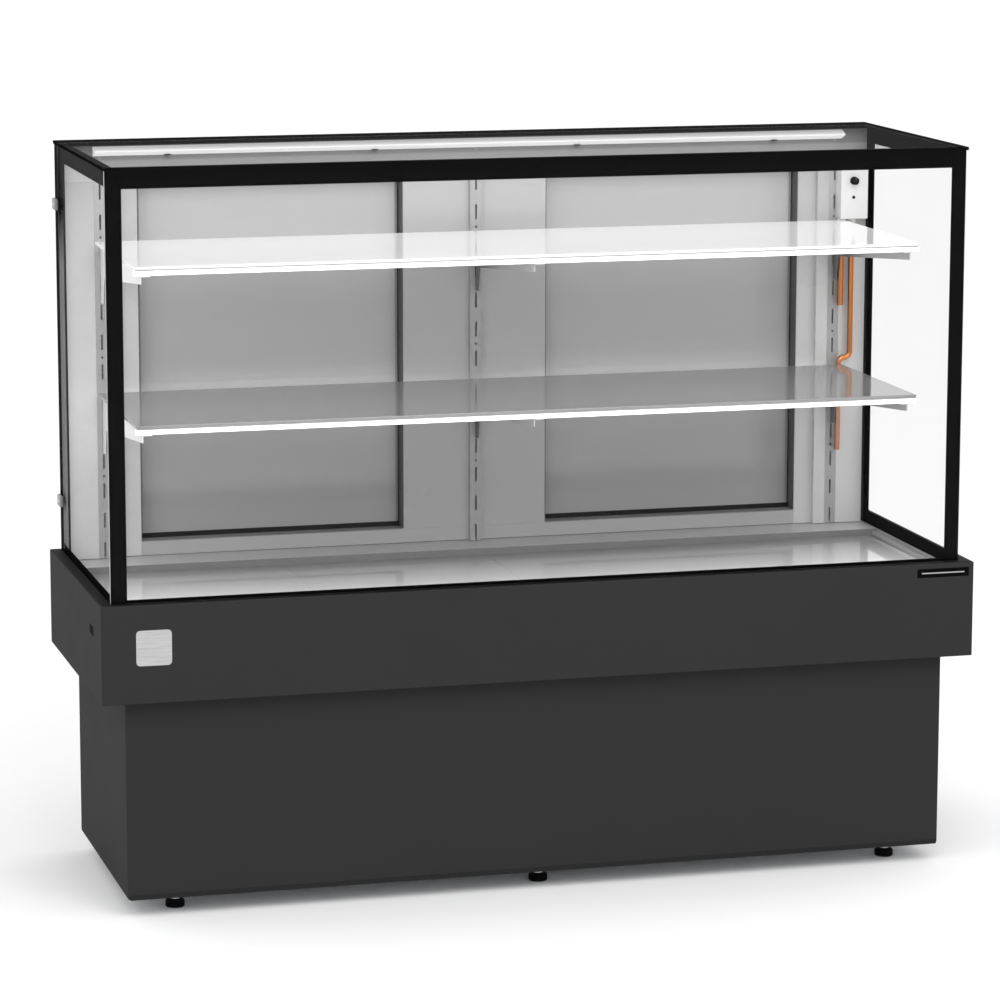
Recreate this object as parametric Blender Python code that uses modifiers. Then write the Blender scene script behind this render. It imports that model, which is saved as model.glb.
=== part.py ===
"""Refrigerated deli case with a glass display, two shelves and hinged rear doors.

Metres, +Z up, standing on z = 0, front facing -Y. Lengths along the depth are measured from
the deck's front face, and one parent empty moves them so that the case is centred on the origin.
"""

import math

import bmesh
import bpy
from mathutils import Matrix, Vector

# Overall sizes
DECK_WIDTH = 1.750
DECK_DEPTH = 0.600
DECK_BOTTOM = 0.428
DECK_TOP = 0.618
OVERALL_DEPTH = 0.660
CASE_TOP = 1.440

# Small clearances and sheet thicknesses
GAP = 0.0003
SHEET = 0.0015
PLATE = 0.002

# Plinth and feet
PLINTH_WIDTH = 1.649
PLINTH_FRONT = 0.037
PLINTH_BACK = 0.5745
PLINTH_BOTTOM = 0.0355
PLINTH_FLANGE = 0.020
FOOT_X = (-0.721, 0.008, 0.736)
FOOT_Y = (0.107, 0.5265)
FOOT_NAMES = (("front_left", "front_middle", "front_right"), ("rear_left", "rear_middle", "rear_right"))
FOOT_RADIUS = 0.019
STUD_RADIUS = 0.005
STUD_HOLE_RADIUS = 0.0062

# Louvred service panel at the plinth's back, with the power inlet on its right end
LOUVRE_BANKS = (-0.620, -0.260, 0.100, 0.460)
LOUVRE_LENGTH = 0.240
LOUVRE_ROWS = 9
LOUVRE_START = 0.115
LOUVRE_PITCH = 0.026
LOUVRE_HEIGHT = 0.009
INLET_CENTRE = (0.760, 0.217)
INLET_HALF = (0.0145, 0.0115)
INLET_DEPTH = 0.022

# Glass box
GLASS = 0.006
GLASS_HALF_WIDTH = 0.852
GLASS_FRONT = 0.0225
GLASS_BACK = 0.5975
ROOF_BACK = 0.606
GLASS_FOOT = 0.602
ROOF_FRONT_OVERHANG = 0.004
ROOF_SIDE_OVERHANG = 0.001

# Tub and floor
TUB_HALF_WIDTH = 0.860
TUB_FRONT = 0.0125
TUB_BACK = 0.5965
TUB_TOP = GLASS_FOOT - GAP
INNER_HALF_WIDTH = GLASS_HALF_WIDTH - GLASS - GAP
INNER_FRONT = GLASS_FRONT + GLASS + 0.0008
COIL_BAY_HALF_WIDTH = 0.805
COIL_BAY_FRONT = 0.065
COIL_BAY_BACK = 0.455
COIL_BAY_FLOOR = 0.470
FLOOR_TOP = 0.588
FLOOR_PANEL_COUNT = 4
FLOOR_BACK = 0.469
LEDGE_TOP = 0.6015
SKIRT_FLANGE = 0.075
RECESS_DEPTH = 0.0009
BADGE_CENTRE = (-0.7745, 0.535)
BADGE_HALF = (0.0345, 0.0345)
NAMEPLATE_CENTRE = (0.8104, 0.5992)
NAMEPLATE_HALF = (0.0545, 0.009)
VENT_CENTRE = (0.107, 0.5535)
VENT_HALF = (0.024, 0.009)
DRAIN_PLACE = (0.250, 0.260)
DRAIN_RADIUS = 0.012

# Rear wall: two windows between a middle post and two outer columns
WALL_FRONT = 0.565
WALL_BACK = 0.5965
WALL_BASE = 0.6028
COLUMN_FRONT = 0.553
COLUMN_INNER = 0.733
WINDOW_INNER = 0.150
WINDOW_OUTER = 0.694
WINDOW_BOTTOM = 0.631
WINDOW_TOP = 1.360
WALL_TOP = CASE_TOP - GLASS - GAP

# Slotted uprights
UPRIGHT_X = (-0.770, 0.0, 0.770)
SIDE_NAMES = ("left", "middle", "right")
UPRIGHT_WIDTH = 0.024
UPRIGHT_SHEET = 0.0012
UPRIGHT_FRONT = COLUMN_FRONT + GAP
UPRIGHT_BACK = WALL_FRONT - GAP
SLOT_START = 0.6055
SLOT_PITCH = 0.060
SLOT_LENGTH = 0.030
SLOT_WIDTH = 0.0038
SLOT_COUNT = 13
PIN_HOLE_HEIGHTS = (0.770, 1.010, 1.250)
PIN_HOLE_RADIUS = 0.0024

# Shelves
SHELF_TOPS = {"upper": 1.2445, "lower": 0.9420}
SHELF_HALF_WIDTH = 0.785
SHELF_FRONT = 0.100
SHELF_BACK = 0.530
RAIL_HEIGHT = 0.0105
RAIL_DEPTH = 0.011
BRACKET_THICKNESS = 0.002
BRACKET_NOSE = 0.1118
BRACKET_NOSE_HEIGHT = 0.028
BRACKET_KNEE = (0.523, 0.068)
BRACKET_FOOT = 0.018
BRACKET_HEIGHT = 0.118
HOOK_DROPS = (0.005, 0.065)
HOOK_HEIGHT = 0.024
HOOK_DEPTH = 0.006
TAB_WIDTH = 0.016
TAB_DEPTH = 0.040
TAB_THICKNESS = 0.0022

# Lamp under the header: a wedge against the wall
LAMP_HALF_WIDTH = 0.783
LAMP_DEPTH = 0.024
LAMP_BOTTOM = 1.4115
LAMP_TOP = 1.4300
LAMP_NOSE = (1.4205, 1.4230)

# Rear doors
DOOR_INNER = 0.120
DOOR_OUTER = 0.725
DOOR_BOTTOM = 0.6225
DOOR_TOP = 1.390
DOOR_FRONT = 0.5995
DOOR_BACK = 0.6295
DOOR_BORDER = 0.040
PANE_FRONT = 0.608
PANE_BACK = 0.620
HINGE_X = 0.717
HINGE_Y = 0.6195
PIN_RADIUS = 0.004
PIN_LENGTH = 0.012
HANDLE_X = 0.142
HANDLE_HEIGHTS = (0.870, 1.130)
HANDLE_OUT = 0.654
HANDLE_RADIUS = 0.006
HANDLE_BEND = 0.014
HINGE_RAIL = (0.731, 0.745)
LUG_REACH = (0.708, 0.7315)
LUG_HEIGHT = 0.004

# Thermostat box and copper line in the rear right corner
BOX_LEFT = 0.7735
BOX_RIGHT = 0.8325
BOX_FRONT = 0.522
BOX_BOTTOM = 1.2468
BOX_TOP = 1.3745
KNOB_X = 0.801
KNOB_Z = 1.3265
BOX_HOLE_Z = 1.292
BOX_HOLE_RADIUS = 0.003
PIPE_Y = 0.539
PIPE_RADIUS = 0.006
PIPE_OUTER_X = 0.8035
PIPE_INNER_X = 0.7790
PIPE_BEND_TOP = 0.968
PIPE_END = 0.761
POCKET_X = 0.7805
POCKET_RADIUS = 0.0065
POCKET_END = 1.066

# Cooling machinery
FAN_X = -0.440
FAN_Y = 0.395
FAN_Z = 0.225
SMALL_FAN_X = -0.120
SMALL_FAN_Y = 0.260
SMALL_FAN_Z = 0.527
COMPRESSOR_PLACE = (0.590, 0.300)
CONDENSER_X = (-0.640, -0.240)
CONDENSER_Y = (0.440, 0.500)
CONDENSER_TOP = 0.400
EVAPORATOR_X = (0.020, 0.700)
EVAPORATOR_Y = (0.100, 0.420)
EVAPORATOR_TOP = 0.570
FIN_HEIGHT = 0.012
PAN_X = (0.100, 0.430)
PAN_Y = (0.120, 0.400)
PAN_HEIGHT = 0.045


def clear_scene():
    for obj in list(bpy.data.objects):
        bpy.data.objects.remove(obj, do_unlink=True)


def new_collection(name):
    collection = bpy.data.collections.new(name)
    bpy.context.scene.collection.children.link(collection)
    return collection


def make_material(name, colour, roughness, metallic=0.0, alpha=1.0):
    material = bpy.data.materials.new(name)
    material.use_nodes = True
    shader = material.node_tree.nodes["Principled BSDF"]
    shader.inputs["Base Color"].default_value = (*colour, 1.0)
    shader.inputs["Roughness"].default_value = roughness
    shader.inputs["Metallic"].default_value = metallic
    shader.inputs["Alpha"].default_value = alpha
    material.diffuse_color = (*colour, alpha)
    return material


clear_scene()
CASE = new_collection("deli_case")
CUTTERS = new_collection("cutters")
ORIGIN = bpy.data.objects.new("case_origin", None)
ORIGIN.location = (0.0, -OVERALL_DEPTH / 2, 0.0)
CASE.objects.link(ORIGIN)

MATERIAL_LOOKS = {
    "charcoal_paint": ((0.040, 0.040, 0.041), 0.45),
    "black_plastic": ((0.012, 0.012, 0.013), 0.45),
    "light_paint": ((0.60, 0.61, 0.62), 0.40),
    "white_plastic": ((0.85, 0.86, 0.86), 0.35),
    "stainless": ((0.62, 0.63, 0.64), 0.30, 1.0),
    "aluminium": ((0.70, 0.71, 0.72), 0.35, 1.0),
    "copper": ((0.72, 0.38, 0.20), 0.30, 1.0),
    "clear_glass": ((0.86, 0.92, 0.91), 0.03, 0.0, 0.25),
    "white_glass": ((0.90, 0.92, 0.92), 0.08),
    "galvanised": ((0.52, 0.54, 0.56), 0.45, 1.0),
    "rubber": ((0.015, 0.015, 0.016), 0.70),
}


def material_for(name, kind):
    """A material of its own for each sub-part, in one of the finishes above."""
    return make_material(name + "_finish", *MATERIAL_LOOKS[kind])


def place(name, mesh, centre, kind):
    """Makes the object of a sub-part, parented to the case's origin."""
    obj = bpy.data.objects.new(name, mesh)
    obj.location = centre
    obj.parent = ORIGIN
    CASE.objects.link(obj)
    mesh.materials.clear()
    mesh.materials.append(material_for(name, kind))
    return obj


def place_cutter(name, mesh, centre=(0.0, 0.0, 0.0)):
    obj = bpy.data.objects.new(name, mesh)
    obj.location = centre
    obj.parent = ORIGIN
    obj.hide_render = True
    obj.display_type = "WIRE"
    CUTTERS.objects.link(obj)
    return obj


def to_mesh(bm, name):
    mesh = bpy.data.meshes.new(name)
    bm.to_mesh(mesh)
    bm.free()
    return mesh


def add_cube(bm, low, high):
    size = Vector(high) - Vector(low)
    centre = (Vector(high) + Vector(low)) / 2
    matrix = Matrix.Translation(centre) @ Matrix.Diagonal((*size, 1.0))
    bmesh.ops.create_cube(bm, size=1.0, matrix=matrix)


def add_bevel(obj, width):
    bevel = obj.modifiers.new("rounded_edges", "BEVEL")
    bevel.width = width
    bevel.segments = 2
    bevel.limit_method = "ANGLE"
    bevel.angle_limit = math.radians(30)


def block(name, low, high, kind, bevel=0.0):
    """A box between two corners, with its origin at its centre."""
    centre = (Vector(low) + Vector(high)) / 2
    half = (Vector(high) - Vector(low)) / 2
    bm = bmesh.new()
    add_cube(bm, -half, half)
    obj = place(name, to_mesh(bm, name), centre, kind)
    if bevel:
        add_bevel(obj, bevel)
    return obj


def cutter_blocks(name, boxes):
    """One cutter made of separate boxes."""
    bm = bmesh.new()
    for low, high in boxes:
        add_cube(bm, low, high)
    return place_cutter(name, to_mesh(bm, name))


def cutter_rods(name, centres, radius, length, axis, segments=12):
    """One cutter made of separate rods along Y or Z."""
    turn = {
        "Y": Matrix.Rotation(math.pi / 2, 4, "X"),
        "Z": Matrix.Identity(4),
    }[axis]
    bm = bmesh.new()
    for centre in centres:
        bmesh.ops.create_cone(bm, cap_ends=True, segments=segments, radius1=radius, radius2=radius,
                              depth=length, matrix=Matrix.Translation(centre) @ turn)
    return place_cutter(name, to_mesh(bm, name))


def combine(obj, other, operation):
    boolean = obj.modifiers.new(other.name, "BOOLEAN")
    boolean.operation = operation
    boolean.solver = "EXACT"
    boolean.object = other


def cut(obj, *cutters):
    for cutter in cutters:
        combine(obj, cutter, "DIFFERENCE")


def join(obj, *extras):
    for extra in extras:
        combine(obj, extra, "UNION")


FACE_NORMALS = {"-X": (-1, 0, 0), "+X": (1, 0, 0), "-Y": (0, -1, 0), "+Y": (0, 1, 0),
                "-Z": (0, 0, -1), "+Z": (0, 0, 1)}


def face_towards(bm, side):
    normal = Vector(FACE_NORMALS[side])
    return max(bm.faces, key=lambda face: face.calc_center_median().dot(normal))


def folded_shell(name, low, high, thickness, kind, flanges, open_sides, fold, no_flange_at=()):
    """Bent sheet metal: a box with flanges on some sides and nothing on others.

    flanges maps a side to its flange's width. no_flange_at lists (side, edge) pairs where the
    flange of a side is left out along one of its edges.
    """
    centre = (Vector(low) + Vector(high)) / 2
    half = (Vector(high) - Vector(low)) / 2
    bm = bmesh.new()
    add_cube(bm, -half, half)
    bm.normal_update()
    doomed = [face_towards(bm, side) for side in open_sides]
    inset_sides = [(side, face_towards(bm, side), width) for side, width in flanges.items()]
    for side, face, width in inset_sides:
        strips = bmesh.ops.inset_region(bm, faces=[face], thickness=width)["faces"]
        doomed.append(face)
        for flange_side, edge in no_flange_at:
            if flange_side == side:
                outward = Vector(FACE_NORMALS[edge])
                doomed.append(max(strips, key=lambda strip: strip.calc_center_median().dot(outward)))
    bmesh.ops.delete(bm, geom=doomed, context="FACES")
    obj = place(name, to_mesh(bm, name), centre, kind)
    add_bevel(obj, fold)
    solidify = obj.modifiers.new("sheet", "SOLIDIFY")
    solidify.thickness = thickness
    solidify.offset = -1.0
    solidify.use_even_offset = True
    return obj


AXIS_MAPS = {
    "X": Matrix(((0, 0, 1, 0), (1, 0, 0, 0), (0, 1, 0, 0), (0, 0, 0, 1))),
    "Y": Matrix(((1, 0, 0, 0), (0, 0, -1, 0), (0, 1, 0, 0), (0, 0, 0, 1))),
    "Z": Matrix.Identity(4),
}


def prism_mesh(name, outlines, axis, length):
    """Extrudes flat outlines along an axis. A second outline inside the first is a hole."""
    curve = bpy.data.curves.new(name, "CURVE")
    curve.dimensions = "2D"
    curve.fill_mode = "BOTH"
    curve.extrude = length / 2
    for outline in outlines:
        spline = curve.splines.new("POLY")
        spline.points.add(len(outline) - 1)
        for point, (u, v) in zip(spline.points, outline):
            point.co = (u, v, 0.0, 1.0)
        spline.use_cyclic_u = True
    flat = bpy.data.objects.new(name + "_outline", curve)
    CUTTERS.objects.link(flat)
    evaluated = flat.evaluated_get(bpy.context.evaluated_depsgraph_get())
    mesh = bpy.data.meshes.new_from_object(evaluated)
    bpy.data.objects.remove(flat, do_unlink=True)
    bm = bmesh.new()
    bm.from_mesh(mesh)
    bmesh.ops.remove_doubles(bm, verts=bm.verts, dist=0.00001)
    bmesh.ops.transform(bm, matrix=AXIS_MAPS[axis], verts=bm.verts)
    bmesh.ops.recalc_face_normals(bm, faces=bm.faces)
    bm.to_mesh(mesh)
    bm.free()
    return mesh


def prism(name, outlines, axis, start, end, kind):
    """A prism between two places along its axis."""
    middle = (start + end) / 2
    centre = {"X": (middle, 0, 0), "Y": (0, middle, 0), "Z": (0, 0, middle)}[axis]
    return place(name, prism_mesh(name, outlines, axis, end - start), centre, kind)


def prism_cutter(name, outlines, axis, start, end):
    middle = (start + end) / 2
    centre = {"X": (middle, 0, 0), "Y": (0, middle, 0), "Z": (0, 0, middle)}[axis]
    return place_cutter(name, prism_mesh(name, outlines, axis, end - start), centre)


def rectangle(low_u, high_u, low_v, high_v):
    return [(low_u, low_v), (high_u, low_v), (high_u, high_v), (low_u, high_v)]


def mirrored(outline, side):
    """The outline itself for side 1, or its mirror image across zero for side -1."""
    return [(u * side, v) for u, v in outline]


def turned(name, profile, centre, kind, steps=24, rotation=(0.0, 0.0, 0.0)):
    """A solid turned about Z. The profile runs from the top of the axis to its bottom."""
    mesh = bpy.data.meshes.new(name)
    edges = [(i, i + 1) for i in range(len(profile) - 1)]
    mesh.from_pydata([(radius, 0.0, height) for radius, height in profile], edges, [])
    obj = place(name, mesh, centre, kind)
    obj.rotation_euler = rotation
    screw = obj.modifiers.new("turned", "SCREW")
    screw.steps = steps
    screw.render_steps = steps
    screw.use_merge_vertices = True
    screw.merge_threshold = 0.00001
    screw.use_smooth_shade = True
    return obj


def tube(name, points, radius, kind):
    """A bent tube or rod along a list of points."""
    curve = bpy.data.curves.new(name, "CURVE")
    curve.dimensions = "3D"
    curve.bevel_depth = radius
    curve.bevel_resolution = 2
    curve.use_fill_caps = True
    centre = Vector(points[0])
    spline = curve.splines.new("POLY")
    spline.points.add(len(points) - 1)
    for point, spot in zip(spline.points, points):
        point.co = (*(Vector(spot) - centre), 1.0)
    return place(name, curve, centre, kind)


def arc(centre, radius, start, end, steps):
    """Points (u, v) on an arc, angles in degrees."""
    angles = [math.radians(start + (end - start) * i / steps) for i in range(steps + 1)]
    return [(centre[0] + radius * math.cos(a), centre[1] + radius * math.sin(a)) for a in angles]


def rounded_rectangle(centre, half, radius):
    points = []
    for corner, (side_u, side_v) in enumerate(((1, 1), (-1, 1), (-1, -1), (1, -1))):
        middle = (centre[0] + side_u * (half[0] - radius), centre[1] + side_v * (half[1] - radius))
        points += arc(middle, radius, 90 * corner, 90 * corner + 90, 4)
    return points


def make_plinth():
    half = PLINTH_WIDTH / 2
    folded_shell(
        "plinth_shell",
        (-half, PLINTH_FRONT, PLINTH_BOTTOM), (half, PLINTH_BACK, DECK_BOTTOM - GAP),
        SHEET, "charcoal_paint",
        flanges={"-Z": PLINTH_FLANGE, "+Z": PLINTH_FLANGE},
        open_sides=["+Y"], fold=0.005,
        no_flange_at=[("-Z", "+Y"), ("+Z", "+Y")],
    )
    plate_bottom = PLINTH_BOTTOM + SHEET + GAP
    base = block("base_plate", (-half + 0.008, PLINTH_FRONT + 0.008, plate_bottom),
                 (half - 0.008, PLINTH_BACK - 0.006, plate_bottom + PLATE), "galvanised")
    holes = [(x, y, plate_bottom) for x in FOOT_X for y in FOOT_Y]
    cut(base, cutter_rods("stud_holes", holes, STUD_HOLE_RADIUS, 0.02, "Z"))
    return plate_bottom + PLATE


def inlet_box(margin, front, back):
    """A box round the power inlet's centre between two depths, widened by a margin."""
    x, z = INLET_CENTRE
    half_x = INLET_HALF[0] + margin
    half_z = INLET_HALF[1] + margin
    return (x - half_x, front, z - half_z), (x + half_x, back, z + half_z)


def make_grille(bottom):
    """The louvred service panel that closes the plinth's back, and the power inlet on it."""
    half = PLINTH_WIDTH / 2 - SHEET - 0.002
    back = PLINTH_BACK - 0.001
    top = DECK_BOTTOM - 0.005
    grille = block("rear_grille", (-half, back - SHEET, bottom + GAP), (half, back, top), "charcoal_paint")
    slots = []
    for left in LOUVRE_BANKS:
        for row in range(LOUVRE_ROWS):
            low = LOUVRE_START + row * LOUVRE_PITCH
            slots.append(((left, back - 0.01, low),
                          (left + LOUVRE_LENGTH, back + 0.01, low + LOUVRE_HEIGHT)))
    cut(grille, cutter_blocks("louvre_slots", slots))
    inlet_front = back + GAP
    inlet_back = inlet_front + INLET_DEPTH
    inlet = block("power_inlet", *inlet_box(0.0, inlet_front, inlet_back), "black_plastic")
    cut(inlet, cutter_blocks("inlet_socket", [inlet_box(-0.004, inlet_front + 0.006, inlet_back + 0.01)]))


def foot_profile():
    """A levelling foot: threaded stud and nut on a stepped round pad."""
    return [
        (0.0, 0.072), (STUD_RADIUS, 0.072), (STUD_RADIUS, 0.0245), (0.0085, 0.0245), (0.0085, 0.0170),
        (0.0125, 0.0160), (0.0170, 0.0135), (FOOT_RADIUS, 0.0110), (FOOT_RADIUS, 0.0080), (0.0172, 0.0068),
        (FOOT_RADIUS, 0.0056), (FOOT_RADIUS, 0.0030), (0.0175, 0.0), (0.0, 0.0),
    ]


def make_feet():
    for y, names in zip(FOOT_Y, FOOT_NAMES):
        for x, name in zip(FOOT_X, names):
            turned("foot_" + name, foot_profile(), (x, y, 0.0), "rubber", steps=16)


def make_deck():
    half = DECK_WIDTH / 2
    skirt = folded_shell(
        "deck_skirt",
        (-half, 0.0, DECK_BOTTOM), (half, DECK_DEPTH, DECK_TOP),
        SHEET, "charcoal_paint",
        flanges={"+Z": half - GLASS_HALF_WIDTH - 0.0006, "-Z": SKIRT_FLANGE},
        open_sides=[], fold=0.0015,
        no_flange_at=[("+Z", "+Y")],
    )
    badge = rounded_rectangle(BADGE_CENTRE, BADGE_HALF, 0.008)
    nameplate = rounded_rectangle(NAMEPLATE_CENTRE, NAMEPLATE_HALF, 0.002)
    vent = rounded_rectangle(VENT_CENTRE, VENT_HALF, 0.002)
    cut(skirt,
        prism_cutter("badge_recess", [badge], "Y", -0.01, RECESS_DEPTH),
        prism_cutter("nameplate_recess", [nameplate], "Y", -0.01, RECESS_DEPTH),
        prism_cutter("vent_recess", [vent], "X", -half - 0.01, -half + RECESS_DEPTH))
    tub_bottom = DECK_BOTTOM + SHEET + GAP
    tub = block("insulated_tub", (-TUB_HALF_WIDTH, TUB_FRONT, tub_bottom),
                (TUB_HALF_WIDTH, TUB_BACK, TUB_TOP), "light_paint")
    panel_seat = FLOOR_TOP - 0.0033
    cut(tub,
        cutter_blocks("tub_mouth", [((-INNER_HALF_WIDTH, INNER_FRONT, panel_seat),
                                     (INNER_HALF_WIDTH, WALL_FRONT - GAP, TUB_TOP + 0.02))]),
        cutter_blocks("coil_bay", [((-COIL_BAY_HALF_WIDTH, COIL_BAY_FRONT, COIL_BAY_FLOOR),
                                    (COIL_BAY_HALF_WIDTH, COIL_BAY_BACK, TUB_TOP + 0.01))]),
        cutter_rods("tub_drain", [(*DRAIN_PLACE, tub_bottom + 0.02)], DRAIN_RADIUS, 0.08, "Z"))
    span = 2 * (INNER_HALF_WIDTH - GAP)
    width = span / FLOOR_PANEL_COUNT
    for index in range(FLOOR_PANEL_COUNT):
        left = -span / 2 + index * width
        block("floor_panel_%d" % (index + 1), (left + GAP, INNER_FRONT + 0.001, panel_seat + GAP),
              (left + width - GAP, FLOOR_BACK, FLOOR_TOP), "stainless")
    front = FLOOR_BACK + 0.001
    back = WALL_FRONT - 2 * GAP
    lip = [
        (front, panel_seat + GAP), (front + PLATE, panel_seat + GAP), (front + PLATE, LEDGE_TOP - PLATE),
        (back, LEDGE_TOP - PLATE), (back, LEDGE_TOP), (front, LEDGE_TOP),
    ]
    prism("duct_cover", [lip], "X", -INNER_HALF_WIDTH + GAP, INNER_HALF_WIDTH - GAP, "stainless")


def make_glass():
    top = CASE_TOP - GLASS - GAP
    block("front_glass", (-GLASS_HALF_WIDTH, GLASS_FRONT, GLASS_FOOT),
          (GLASS_HALF_WIDTH, GLASS_FRONT + GLASS, top), "clear_glass")
    for name, side in (("left_glass", -1), ("right_glass", 1)):
        faces = sorted((side * GLASS_HALF_WIDTH, side * (GLASS_HALF_WIDTH - GLASS)))
        block(name, (faces[0], GLASS_FRONT + GLASS + GAP, GLASS_FOOT), (faces[1], GLASS_BACK, top),
              "clear_glass")
    roof_half = GLASS_HALF_WIDTH + ROOF_SIDE_OVERHANG
    block("roof_glass", (-roof_half, GLASS_FRONT - ROOF_FRONT_OVERHANG, CASE_TOP - GLASS),
          (roof_half, ROOF_BACK, CASE_TOP), "clear_glass")


def make_rear_wall():
    inner_half = INNER_HALF_WIDTH
    block("rear_header", (-inner_half, COLUMN_FRONT, WINDOW_TOP), (inner_half, WALL_BACK, WALL_TOP),
          "light_paint")
    block("rear_sill", (-WINDOW_OUTER + GAP, WALL_FRONT, WALL_BASE),
          (WINDOW_OUTER - GAP, WALL_BACK, WINDOW_BOTTOM), "light_paint")
    block("rear_mullion", (-WINDOW_INNER, WALL_FRONT, WINDOW_BOTTOM + GAP),
          (WINDOW_INNER, WALL_BACK, WINDOW_TOP - GAP), "light_paint")
    recess = UPRIGHT_WIDTH / 2 + GAP
    middle = UPRIGHT_X[2]
    plan = [
        (WINDOW_OUTER, WALL_FRONT), (COLUMN_INNER, WALL_FRONT), (COLUMN_INNER, COLUMN_FRONT),
        (middle - recess, COLUMN_FRONT), (middle - recess, WALL_FRONT), (middle + recess, WALL_FRONT),
        (middle + recess, COLUMN_FRONT), (inner_half, COLUMN_FRONT), (inner_half, WALL_BACK),
        (WINDOW_OUTER, WALL_BACK),
    ]
    for name, side in (("left_column", -1), ("right_column", 1)):
        prism(name, [mirrored(plan, side)], "Z", WALL_BASE, WINDOW_TOP - GAP, "light_paint")


def make_upright(name, x):
    """A channel with a row of slots for the brackets and a few round holes."""
    half = UPRIGHT_WIDTH / 2
    inner = half - UPRIGHT_SHEET
    inner_front = UPRIGHT_FRONT + UPRIGHT_SHEET
    plan = [
        (x - half, UPRIGHT_FRONT), (x + half, UPRIGHT_FRONT),
        (x + half, UPRIGHT_BACK), (x + inner, UPRIGHT_BACK), (x + inner, inner_front),
        (x - inner, inner_front), (x - inner, UPRIGHT_BACK), (x - half, UPRIGHT_BACK),
    ]
    upright = prism(name, [plan], "Z", WALL_BASE, WINDOW_TOP - GAP, "light_paint")
    slots = []
    for index in range(SLOT_COUNT):
        low = SLOT_START + index * SLOT_PITCH
        slots.append(((x - SLOT_WIDTH / 2, UPRIGHT_FRONT - 0.002, low),
                      (x + SLOT_WIDTH / 2, UPRIGHT_FRONT + 0.004, low + SLOT_LENGTH)))
    holes = [(x, UPRIGHT_FRONT, height) for height in PIN_HOLE_HEIGHTS]
    cut(upright, cutter_blocks(name + "_slots", slots),
        cutter_rods(name + "_holes", holes, PIN_HOLE_RADIUS, 0.006, "Y", segments=8))


def bracket_outline(top):
    """Side view (y, z): a slender arm, a gusset at the wall and two hooks for the slots."""
    wall = UPRIGHT_FRONT - GAP
    outline = [(BRACKET_NOSE, top), (wall, top)]
    for drop in HOOK_DROPS:
        high = top - drop
        low = high - HOOK_HEIGHT
        outline += [(wall, high), (wall + HOOK_DEPTH, high), (wall + HOOK_DEPTH, low), (wall, low)]
    knee_y, knee_drop = BRACKET_KNEE
    outline += [(wall, top - BRACKET_HEIGHT), (wall - BRACKET_FOOT, top - BRACKET_HEIGHT), (knee_y, top - knee_drop),
                (BRACKET_NOSE, top - BRACKET_NOSE_HEIGHT)]
    return outline


def make_shelf(level, top):
    glass_bottom = top - GLASS
    block(level + "_shelf", (-SHELF_HALF_WIDTH, SHELF_FRONT, glass_bottom),
          (SHELF_HALF_WIDTH, SHELF_BACK, top), "white_glass", bevel=0.001)
    rail_top = glass_bottom - GAP
    rail_back = SHELF_FRONT + RAIL_DEPTH
    block(level + "_led_rail", (-SHELF_HALF_WIDTH, SHELF_FRONT, rail_top - RAIL_HEIGHT),
          (SHELF_HALF_WIDTH, rail_back, rail_top), "white_plastic", bevel=0.0008)
    tab_top = rail_top - RAIL_HEIGHT - GAP
    half = BRACKET_THICKNESS / 2
    for name, x, side in zip(SIDE_NAMES, UPRIGHT_X, (1, 1, -1)):
        bracket = prism("%s_%s_bracket" % (level, name), [bracket_outline(rail_top)], "X",
                        x - half, x + half, "light_paint")
        left, right = sorted((x - side * half, x + side * TAB_WIDTH))
        tab = ((left, SHELF_FRONT + 0.0005, tab_top - TAB_THICKNESS),
               (right, SHELF_FRONT + TAB_DEPTH, tab_top))
        join(bracket, cutter_blocks("%s_%s_tab" % (level, name), [tab]))


def make_header_lamp():
    wall = COLUMN_FRONT - GAP
    nose = wall - LAMP_DEPTH
    profile = [(wall, LAMP_BOTTOM), (wall, LAMP_TOP), (wall - 0.005, LAMP_TOP), (nose, LAMP_NOSE[1]),
               (nose, LAMP_NOSE[0])]
    prism("header_lamp", [profile], "X", -LAMP_HALF_WIDTH, LAMP_HALF_WIDTH, "white_plastic")


def make_controls():
    back = UPRIGHT_FRONT - 2 * GAP
    box = folded_shell("control_box", (BOX_LEFT, BOX_FRONT, BOX_BOTTOM), (BOX_RIGHT, back, BOX_TOP), SHEET,
                       "white_plastic", flanges={}, open_sides=["+Y"], fold=0.0015)
    cut(box, cutter_rods("box_holes", [(KNOB_X, BOX_FRONT, BOX_HOLE_Z)], BOX_HOLE_RADIUS, 0.01, "Y"),
        cutter_rods("knob_hole", [(KNOB_X, BOX_FRONT, KNOB_Z)], 0.0035, 0.01, "Y"))
    knob = [(0.0, 0.0125), (0.0068, 0.0125), (0.0080, 0.0110), (0.0085, 0.0003), (0.0030, 0.0003),
            (0.0030, -0.0100), (0.0, -0.0100)]
    turned("thermostat_knob", knob, (KNOB_X, BOX_FRONT, KNOB_Z), "black_plastic", steps=20,
           rotation=(math.pi / 2, 0.0, 0.0))
    pipe_top = BOX_BOTTOM - GAP
    bend = (PIPE_OUTER_X - PIPE_INNER_X) / 2
    upper = arc((PIPE_OUTER_X - bend, PIPE_BEND_TOP), bend, 0, -90, 6)
    lower = arc((PIPE_INNER_X + bend, PIPE_BEND_TOP - 2 * bend), bend, 90, 180, 6)
    route = [(PIPE_OUTER_X, pipe_top)] + upper + lower[1:] + [(PIPE_INNER_X, PIPE_END)]
    tube("copper_line", [(x, PIPE_Y, z) for x, z in route], PIPE_RADIUS, "copper")
    pocket = [(0.0, pipe_top), (POCKET_RADIUS, pipe_top), (POCKET_RADIUS, POCKET_END), (0.0, POCKET_END)]
    turned("sensor_pocket", pocket, (POCKET_X, PIPE_Y, 0.0), "copper", steps=16)


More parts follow.
